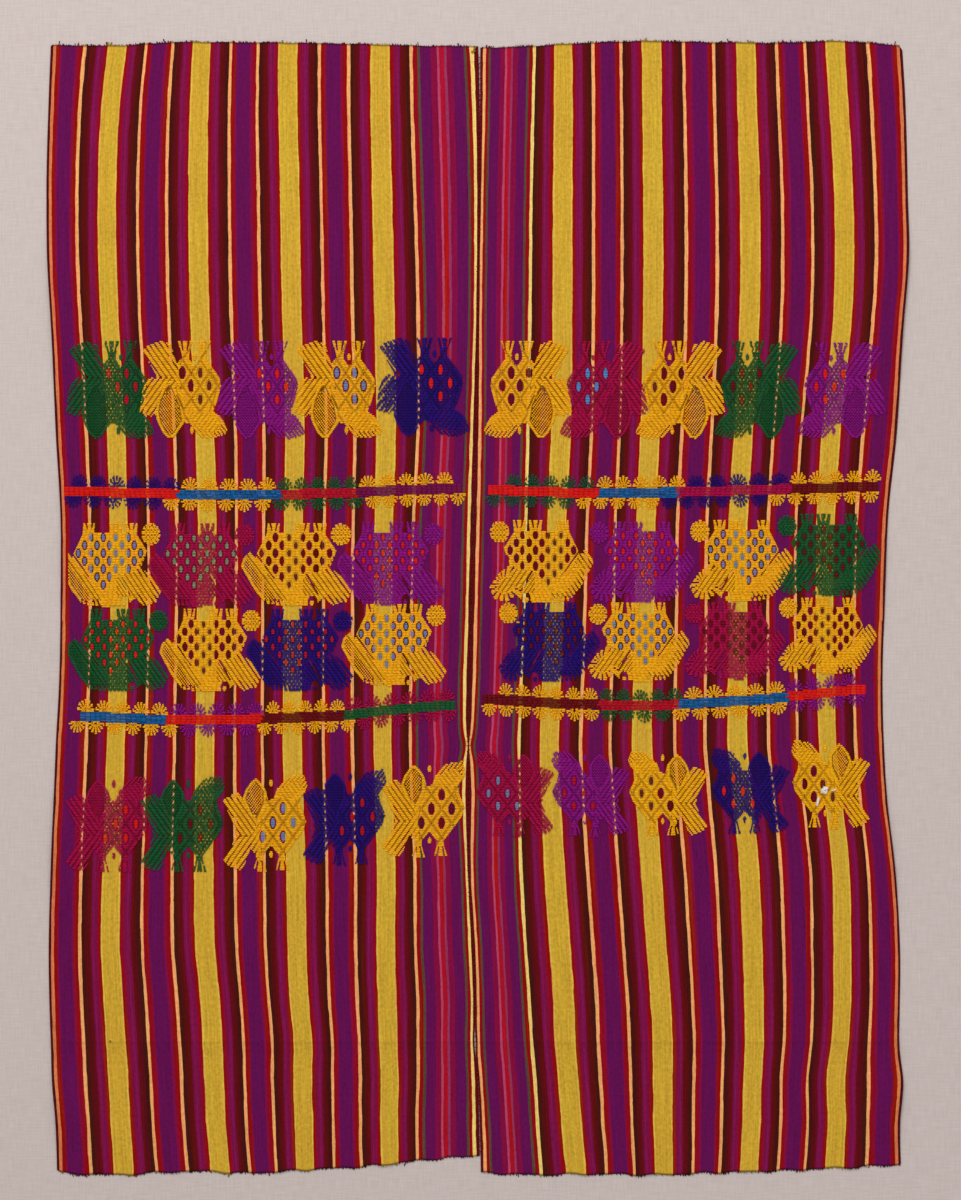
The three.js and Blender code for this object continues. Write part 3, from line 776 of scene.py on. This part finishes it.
# The side-view birds: web, x, y, width, height, yarn, filling. Each row's feet point to its own hem.
BACK_BIRDS = (
    ("left", -323, 193, 77, 85, "green", "crimson"),
    ("left", -258, 193.5, 77, 85, "orange", "maroon"),
    ("left", -190, 193, 77, 85, "plum", "red"),
    ("left", -121.5, 193.5, 77, 85, "orange", "slate"),
    ("left", -46.5, 196, 82, 86, "navy", "red"),
    ("right", 42.5, 193.5, 77, 85, "orange", "maroon"),
    ("right", 110, 193, 77, 85, "magenta", "sky"),
    ("right", 177.5, 193, 78, 85, "orange", "maroon"),
    ("right", 246, 193, 76, 85, "green", "maroon"),
    ("right", 320, 193, 77, 84, "plum", "red"),
)
FRONT_BIRDS = (
    ("left", -327, -191, 75, 83, "magenta", "red"),
    ("left", -261, -191, 75, 83, "green", "maroon"),
    ("left", -188, -190, 75, 83, "orange", "slate"),
    ("left", -118, -185, 75, 83, "navy", "crimson"),
    ("left", -48, -178, 75, 83, "orange", "maroon"),
    ("right", 33, -164, 70, 74, "magenta", "slate"),
    ("right", 100, -164, 70, 74, "plum", "crimson"),
    ("right", 168.5, -164, 71, 73, "gold", "maroon"),
    ("right", 241, -162, 70, 74, "navy", "red"),
    ("right", 312, -156, 70, 76, "gold", "maroon"),
)

# The spread-wing birds: web, x, y of the lattice's middle, how wide and how tall, how far the wing reaches
# before it meets its neighbour, yarn, filling, and the pompom's yarn where it isn't the bird's.
SPREAD_BIRDS = (
    ("left", -325.5, 43, 0.9, 1.05, 36, "orange", "slate"),
    ("left", -245, 42.5, 0.95, 1.04, 47, "magenta", "sage"),
    ("left", -161, 43, 0.98, 1.04, 50, "orange", "maroon"),
    ("left", -78, 43.5, 0.95, 1.04, 46, "plum", "red"),
    ("right", 57, 45.5, 0.92, 1.03, 50, "orange", "maroon"),
    ("right", 146, 45, 0.94, 1.02, 46, "plum", "red"),
    ("right", 234, 46.5, 0.92, 1.02, 44, "orange", "slate"),
    ("right", 311.5, 51, 0.93, 1.02, 44, "green", "maroon"),
    ("left", -319, -33, 0.9, 1.03, 43, "green", "red"),
    ("left", -237, -33, 0.9, 1.03, 48, "orange", "maroon"),
    ("left", -158, -33, 0.95, 1.02, 46, "navy", "crimson"),
    ("left", -75, -28, 0.93, 1.02, 46, "orange", "slate"),
    ("right", 64, -25.5, 0.9, 1.0, 44, "navy", "maroon", "orange"),
    ("right", 143, -26, 0.9, 0.98, 44, "orange", "slate"),
    ("right", 228, -25, 0.9, 0.96, 44, "magenta", "maroon"),
    ("right", 310, -20, 0.87, 0.96, 43, "orange", "maroon"),
)

# The bars: web, the middle line's points, each run's bar yarn and fan yarn, and where the runs begin and end
# along the bar, along its upper fans and along its lower fans.
BARS = (
    ("left", ((-365, 103.5), (-270, 100.7), (-210, 99.7), (-112, 101.6), (-76, 103.8), (-14, 105.8)),
     (("red", "navy"), ("blue", "orange"), ("crimson", "green"), ("wine", "orange")),
     (-365, -265, -173, -106, -14),
     (-359.5, -262.5, -177.5, -105.5, -21),
     (-366, -279, -182, -100, -10)),
    ("right", ((9, 104.3), (90, 101.6), (177, 102.2), (250, 104.4), (354, 107.5)),
     (("red", "pine"), ("blue", "orange"), ("magenta", "navy"), ("maroon", "orange")),
     (9, 106, 176, 276, 353.5),
     (24, 104.5, 184, 275, 357),
     (6.5, 86, 161, 256, 355)),
    ("left", ((-351, -95.4), (-276, -99), (-210, -98.4), (-122, -95.3), (-82, -90.5), (-22, -85.5)),
     (("blue", "orange"), ("red", "plum"), ("maroon", "orange"), ("green", "magenta")),
     (-351, -275, -190, -118, -20),
     (-354.5, -273, -188, -117, -20),
     (-362, -264, -195.5, -107.5, -18)),
    ("right", ((3, -80), (73, -84.5), (152, -86.5), (250, -81), (330, -72.5), (343, -71.5)),
     (("maroon", "orange"), ("crimson", "green"), ("blue", "orange"), ("red", "plum")),
     (4, 107, 178, 273.5, 343),
     (17.5, 106.5, 181.5, 272, 336),
     (2.5, 108, 171, 274, 343)),
)  # fmt: skip


def stripe_at(u):
    """Which stripe of the warp lies u from the outer selvedge."""
    return np.clip(np.searchsorted(STARTS, u, "right") - 1, 0, len(MIDDLES) - 1)


def warp_colours(web):
    return np.array([linear(WARP_DYES[dye])[:3] for dye in DYES[web]])


def tied_down(web, X, Y, pale):
    """Where warps are lifted over the brocade and hold it down: single pale warps show as dashes, and the
    broad stripes fleck the darker yarns. pale tells where the yarn hides them."""
    u = warp_at(web, X, Y)
    stripe = stripe_at(u)
    names = np.array(DYES[web])[stripe]
    lines = np.isin(names, ("line", "outer_line", "straw_line")) & (np.abs(u - MIDDLES[stripe]) < 0.6)
    broad = np.isin(names, ("yellow", "pale_yellow"))
    row = np.rint(Y / PICK)
    dash = (row + stripe) % 5 < 2
    cell = X / 3.4 + row * 0.25
    odd = np.sin(np.floor(cell) * 12.99 + row * 78.23) * 437.58  # an uneven scatter
    fleck = (cell % 1.0 < 0.26) & (row % 2 == 0) & (odd % 1.0 < 0.7)
    return ((lines & dash) | (broad & fleck)) & ~pale


def floats(web, X, Y, chart, yarns, pale):
    """Turns a charted figure into single floats of yarn."""
    chart = np.where(chart == RING, np.where(pale, BARE, DEEP), chart)
    chart = np.where(tied_down(web, X, Y, pale), BARE, chart)
    rows = []
    step = X[0, 1] - X[0, 0]
    # How high a sunk float stands, of the full height; float_places() also paints the float darker by it, as
    # painted shade.
    height = {DEEP: 0.5 if np.all(pale) else 0.68, SHALLOW: 0.75}
    for line, xs, ys in zip(chart, X, Y):
        marks = np.flatnonzero(np.diff(np.concatenate([[-1], line, [-1]])))
        for a, b in zip(marks[:-1], marks[1:]):
            if line[a] == BARE or (b - a) * step < SHORTEST:
                continue
            parts = max(1, math.ceil((b - a) * step / LONGEST))
            cuts = np.linspace(a, b, parts + 1)
            for p, q in zip(cuts[:-1], cuts[1:]):
                middle = int((p + q) // 2)
                yarn = yarns(line[a], xs[middle], ys[middle])
                high = height.get(int(line[a]), 1.0)
                rows.append((xs[0] + p * step, xs[0] + q * step, ys[middle], high, yarn))
    return rows


def float_places(web, rows):
    """The table that strew() lays the floats from. Each float is a little lighter or darker, the blue most of
    all, sunk floats are painted darker by their height as painted shade between strokes, and each takes some
    of the colour of the ground warps."""
    dyes = {name: linear(code)[:3] for name, code in BROCADE_DYES.items()}
    begin, end, y, height = np.array([row[:4] for row in rows]).T
    middle, count = (begin + end) / 2, len(rows)
    colour = (1 - SHOW_THROUGH) * np.array([dyes[row[4]] for row in rows])
    colour += SHOW_THROUGH * warp_colours(web)[stripe_at(warp_at(web, middle, y))]
    uneven = np.where([row[4] == "blue" for row in rows], 2.6, 1.0)
    # A random tone, times painted shade that darkens each sunk float by its height.
    tone_and_painted_shade = (0.99 + uneven * chance.uniform(-0.13, 0.13, count)) * height**1.6
    y = y + chance.normal(0, 0.06, count)
    # Each float runs in under the next a little, and the picks lie close.
    long, wide = end - begin + 0.25, np.full(count, PICK * 1.1)
    high = (BROCADE + BEDDED) * chance.uniform(0.88, 1.0, count) * height
    turn = chance.normal(0, 0.02, count)
    colour = np.minimum(colour * tone_and_painted_shade[:, None] * 1.04, 0.96)
    return np.column_stack([middle, y, long, wide, high, turn, colour])


def figure_grid(low, high, bottom, top):
    xs = np.arange(low, high, SAMPLE)
    ys = np.arange(round(bottom / PICK), round(top / PICK)) * PICK
    return np.meshgrid(xs, ys)


def is_pale(X, yarn):
    return np.full(X.shape, yarn in ("orange", "gold"))


def side_bird_floats(shape, web, x, y, width, height, yarn, filling):
    facts, up = shape
    inward = 1 if web == "left" else -1
    X, Y = figure_grid(x - width / 2 - 3, x + width / 2 + 2, y - height / 2 - 3, y + height / 2 + 3)
    # The outlines are drawn 76 mm wide and 84 mm high.
    chart = side_bird((X - x) * inward * 76 / width, (Y - y) * up * 84 / height, *facts)
    return floats(web, X, Y, chart, lambda kind, *_: filling if kind == FILLING else yarn, is_pale(X, yarn))


def spread_bird_floats(web, x, y, wide, tall, reach, yarn, filling, pompom=None):
    inward = 1 if web == "left" else -1
    X, Y = figure_grid(x - 54, x + 54, y - 42 * tall, y + 33 * tall)
    across = (X - x) * inward
    chart = np.where(across < -reach, BARE, spread_bird(across / wide, (Y - y) / tall, -inward))

    def yarns(kind, fx, fy):
        if kind == FILLING:
            return filling
        at_pompom = (fx - x) * inward / wide > 31.5 and (fy - y) / tall > 11.5
        return pompom if pompom and at_pompom else yarn

    return floats(web, X, Y, chart, yarns, is_pale(X, yarn))


def bar_floats(web, line, dyes, *ends):
    xs, ys = [x for x, _ in line], [y for _, y in line]
    low, high = min(e[0] for e in ends), max(e[-1] for e in ends)
    X, Y = figure_grid(low, high, min(ys) - 17, max(ys) + 17)
    off = Y - np.interp(X, xs, ys)
    chart, pale = np.zeros(X.shape, int), np.zeros(X.shape, bool)
    for side, marks in ((1, ends[1]), (-1, ends[2])):
        for a, b, (_, fan_yarn) in zip(marks[:-1], marks[1:], dyes):
            count = round((b - a) / (SLACK_FAN if abs(a + b) / 2 > SLACK_FROM else FAN))
            run = (side * off > 0) & (X >= a) & (X < b)
            chart = np.where(run, fans((X - a) / (b - a) * count, side * off), chart)
            pale |= run & is_pale(X, fan_yarn)
    bar = (np.abs(off) < BAR_HALF - 0.1) & (X >= ends[0][0]) & (X < ends[0][-1])
    chart[bar], pale[bar] = YARN, True

    def yarns(kind, fx, fy):
        row = 0 if kind == YARN else (1 if fy > np.interp(fx, xs, ys) else 2)
        run = int(np.clip(np.searchsorted(ends[row], fx) - 1, 0, len(dyes) - 1))
        return dyes[run][min(row, 1)]

    return floats(web, X, Y, chart, yarns, pale)


def seam_stitches():
    """Overcast stitches across the two selvedges, left out at the neck slit."""
    ys = np.arange(-480, 488, STITCH)
    ys = ys[(ys < SLIT[0]) | (ys > SLIT[1])]
    ys = np.concatenate([ys, SLIT[0] - np.arange(5) * 1.2, SLIT[1] + np.arange(5) * 1.2])
    ys = ys + chance.normal(0, 0.35, len(ys))
    count = len(ys)
    x, long, turn = eased(EDGES, ys)[:, 1], chance.uniform(3.0, 4.2, count), chance.normal(0.5, 0.15, count)
    colour = np.array(linear("#780C12")[:3]) * chance.uniform(0.8, 1.2, (count, 1))
    return np.column_stack([x, ys, long, np.full(count, 0.7), np.full(count, 0.5), turn, colour])


def hem_fray(web):
    """Short ends of warp that stand out past a web's two hems, each in the colour of its stripe painted
    darker, as painted shade along the hem's edge.
    """
    dyes = warp_colours(web)
    rows = []
    for end in (-1, 1):
        u = np.cumsum(chance.uniform(0.7, 2.6, 260))
        u = u[u < WEB - 2]
        count = len(u)
        y = hems(web, u, np.full(count, end * HALF_LENGTH))
        long = chance.uniform(1.2, 2.6, count) * np.where(chance.random(count) < 0.05, 1.8, 1.0)
        wide, turn = chance.uniform(0.6, 1.4, count), math.pi / 2 + chance.normal(0, 0.5, count)
        # The ends are painted darker than their stripes: painted shade along the hem's edge.
        colour = dyes[stripe_at(u)] * chance.uniform(0.25, 0.7, (count, 1))
        place = [lie(web, u, y), y + end * (long / 2 - 1), long, wide, np.full(count, 0.6), turn, colour]
        rows.append(np.column_stack(place))
    return np.concatenate(rows)


# A white knot that mends the last bird of the front row, and a tan one at the top of the seam: x, y, length,
# width, height and turn of each stroke.
WHITE_KNOT = (
    (306.5, -160.2, 6.5, 2.6, 1.9, 0.35),
    (306, -162.4, 6, 2.6, 1.8, -0.6),
    (307.5, -158.8, 5, 2.2, 1.7, -0.2),
    (304.6, -161.4, 5, 2.2, 1.6, 1.2),
    (308.2, -161.8, 4.6, 2, 1.7, 1.5),
    (300.6, -171, 8.6, 2.2, 1.4, 1.35),
    (314.5, -160.8, 5, 1.4, 1.4, 0.15),
)
TAN_KNOT = (-2.5, 494, 4.5, 1.6, 1.6, 1.2), (-3.5, 491.5, 4, 1.4, 1.5, 0.3)


def mending():
    """Both knots, with their colours."""
    parts = (WHITE_KNOT, BROCADE_DYES["white"]), (TAN_KNOT, "#A0701C")
    return np.array([(*stroke, *linear(code)[:3]) for knot, code in parts for stroke in knot])


# Small stains on each web: the place in the loom's measures, the radius, and how much colour is left.
STAINS = {"left": (((52, -383), 1.7, 0.35), ((131, -392), 4.0, 0.9)), "right": ()}
floss = brocade_yarn()
cloths = {}
for web in WEBS:
    cloth = web_cloth(web, handwoven_cotton(f"handwoven_cotton_{web}", DYES[web], STAINS[web]))
    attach(cloth, "root")
    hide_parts(f"{web}_web")
    cloths[web] = cloth

yarn = yarn_shape()
on_web = {web: [] for web in WEBS}
groups = [
    ("back_birds", lambda *bird: side_bird_floats(BACK_SHAPE, *bird), BACK_BIRDS),
    ("front_birds", lambda *bird: side_bird_floats(FRONT_SHAPE, *bird), FRONT_BIRDS),
    ("back_spread_birds", spread_bird_floats, [b for b in SPREAD_BIRDS if b[2] > 0]),
    ("front_spread_birds", spread_bird_floats, [b for b in SPREAD_BIRDS if b[2] < 0]),
    ("back_bar", bar_floats, BARS[:2]),
    ("front_bar", bar_floats, BARS[2:]),
]
for name, make, figures in groups:
    for web in WEBS:
        rows = [row for figure in figures if figure[0] == web for row in make(*figure)]
        laid = float_places(web, rows)
        piece = strew(f"{web}_{name}", yarn, laid, floss, on_cloth)
        on_web[web].append(piece)
stitches = strew("seam_stitches", yarn, seam_stitches(), floss, on_cloth)
mends = strew("mending_stitches", yarn, mending(), floss, over_floats)
on_web["left"].append(stitches)
for web in WEBS:
    fray = strew(f"{web}_hem_fray", yarn, hem_fray(web), floss, in_hem)
    on_web[web].append(fray)
on_web["right"].append(mends)
bpy.data.meshes.remove(yarn)
for web, cloth in cloths.items():
    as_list(on_web[web])

# The surface it lies on, soft daylight from above with the key from the upper left, and the camera.
bm = bmesh.new()
bmesh.ops.create_grid(bm, x_segments=8, y_segments=8, size=3.0)
table_mesh = bpy.data.meshes.new("table")
bm.to_mesh(table_mesh)
bm.free()
table_mesh.materials.append(linen_table())
table = placed("table", table_mesh)


def lamp(name, place, size, power, warmth):
    data = bpy.data.lights.new(name, "AREA")
    data.shape = "SQUARE"
    data.size = size
    data.energy = power
    data.color = warmth
    light = placed(name, data)
    light.location = place
    aim = -np.array(place) / np.linalg.norm(place)
    light.rotation_euler = (math.acos(-aim[2]), 0, math.atan2(-aim[0], aim[1]))


lamp("window", (-0.7, 2.4, 2.4), 1.6, 62, (1.0, 0.985, 0.97))
lamp("fill", (1.6, -1.0, 2.6), 2.4, 12, (0.93, 0.965, 1.0))
world = bpy.data.worlds.new("daylight")
world.use_nodes = True
sky = world.node_tree.nodes["Background"].inputs
sky["Color"].default_value, sky["Strength"].default_value = linear("#F4F1EE"), 0.56
bpy.context.scene.world = world
bpy.context.scene.view_settings.view_transform = "Standard"

FRAME_HEIGHT = 1200 * PIXEL * MM  # the photograph's frame on the table
LENS, SENSOR = 85, 36
view = bpy.data.cameras.new("camera")
view.lens = LENS
view.sensor_width = SENSOR
camera = placed("camera", view)
camera.location = (2.65 * MM, 7.07 * MM, FRAME_HEIGHT * LENS / SENSOR)
bpy.context.scene.camera = camera
